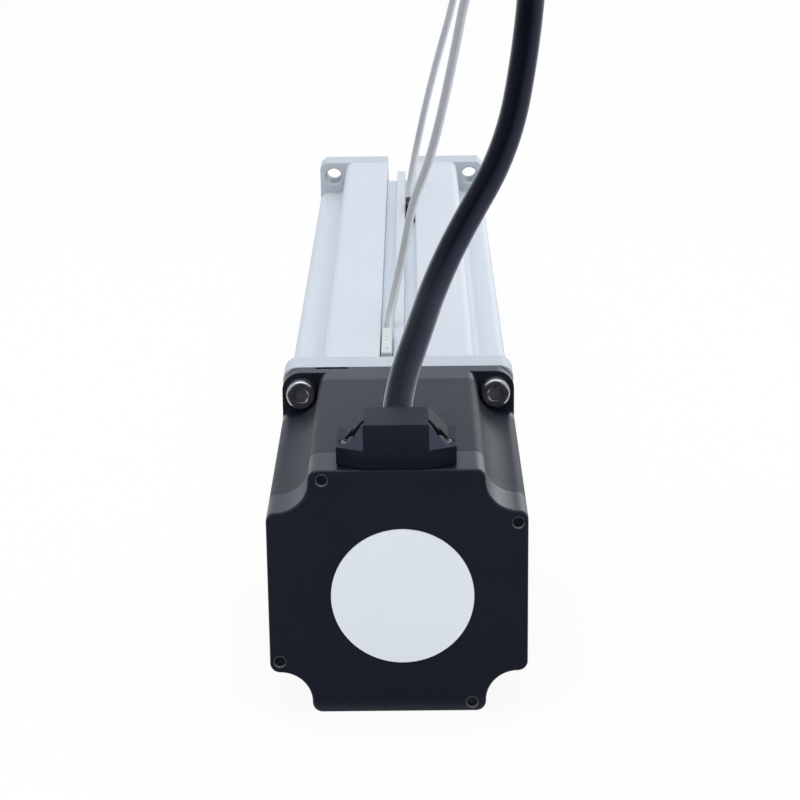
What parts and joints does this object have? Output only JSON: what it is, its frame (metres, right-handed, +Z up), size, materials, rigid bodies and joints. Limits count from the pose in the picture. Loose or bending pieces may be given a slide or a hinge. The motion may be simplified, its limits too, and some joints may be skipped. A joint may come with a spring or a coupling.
{
  "type": "electric cylinder",
  "caption": "Square electric cylinder: stepper motor with cable gland, extruded tube with a sensor channel, notched front flange and a piston rod with a threaded end.",
  "frame": {"origin": "centre of the front flange's front face, on the axis of the rod", "axes": "+Y out along the piston rod, +Z up through the sensor channel and the cable gland, +X to the right as seen from behind the motor"},
  "size_m": [0.1371, 0.3673, 0.1827],
  "materials": {
    "anodised_tube": "satin anodised",
    "anodised_plate": "fine matt anodised",
    "motor_black": "matt black paint",
    "stack_black": "black painted laminations",
    "screw_steel": "bright",
    "dark_steel": "dark",
    "bearing_steel": "ground",
    "rod_chrome": "polished hard chrome",
    "copper": "enamelled copper wire",
    "bronze": "machined bronze",
    "magnet_grey": "nickelled magnet",
    "piston_alloy": "machined",
    "slide_polymer": "bearing polymer",
    "rubber_black": "matt",
    "gland_black": "moulded, fine matt",
    "cable_black": "matt jacket",
    "lead_grey": "matt jacket",
    "sensor_grey": "moulded",
    "sensor_black": "moulded",
    "label_white": "plain label",
    "plug_black": "moulded"
  },
  "bodies": {
    "base": {"front_flange": "anodised_plate", "flange_screws": "screw_steel", "cylinder_tube": "anodised_tube", "rear_adapter_plate": "anodised_plate", "plate_screws": "screw_steel", "motor_front_bell": "motor_black", "motor_screws": "screw_steel", "stator_stack": "stack_black", "stator_windings": "copper", "motor_rear_cap": "motor_black", "motor_long_screws": "dark_steel", "rear_label": "label_white", "front_bearing_outer_ring": "bearing_steel", "front_bearing_balls": "bearing_steel", "rear_bearing_outer_ring": "bearing_steel", "rear_bearing_balls": "bearing_steel", "bearing_spring": "dark_steel", "rod_bush": "bronze", "rod_wiper": "rubber_black", "wiper_clip": "dark_steel", "front_bumper": "rubber_black", "rear_bumper": "rubber_black", "gland_cover": "gland_black", "cable_sleeve": "rubber_black", "gland_gasket": "rubber_black", "gland_screws": "screw_steel", "near_sensor": "sensor_grey", "far_sensor": "sensor_black", "near_sensor_label": "label_white", "motor_cable": "cable_black", "near_sensor_lead": "lead_grey", "far_sensor_lead": "lead_grey", "motor_cable_plug": "plug_black", "near_lead_plug": "plug_black", "far_lead_plug": "plug_black"},
    "drive_screw": {"drive_screw": "bearing_steel", "bearing_locknut": "dark_steel", "rotor_core_front": "dark_steel", "rotor_core_rear": "dark_steel", "rotor_magnet": "magnet_grey", "front_bearing_inner_ring": "bearing_steel", "rear_bearing_inner_ring": "bearing_steel", "screw_tip_bush": "slide_polymer", "screw_tip_clip": "dark_steel"},
    "piston_rod": {"piston_rod": "rod_chrome", "rod_end_stud": "screw_steel", "rod_end_nut": "screw_steel", "drive_nut": "bronze", "magnet_ring": "magnet_grey", "piston": "piston_alloy", "wear_ring": "slide_polymer", "guide_keys": "slide_polymer"}
  },
  "joints": [
    {"name": "screw_spin", "type": "hinge", "parent": "base", "child": "drive_screw", "pos_m": [0, -0.259, 0], "axis": [0, -1, 0], "range_deg": [0, 5400]},
    {"name": "rod_slide", "type": "slide", "parent": "base", "child": "piston_rod", "axis": [0, 1, 0], "range_m": [0, 0.15001]}
  ],
  "couplings": [
    {"joint": "rod_slide", "follows": "screw_spin", "m_per_rad": 0.0015915}
  ]
}
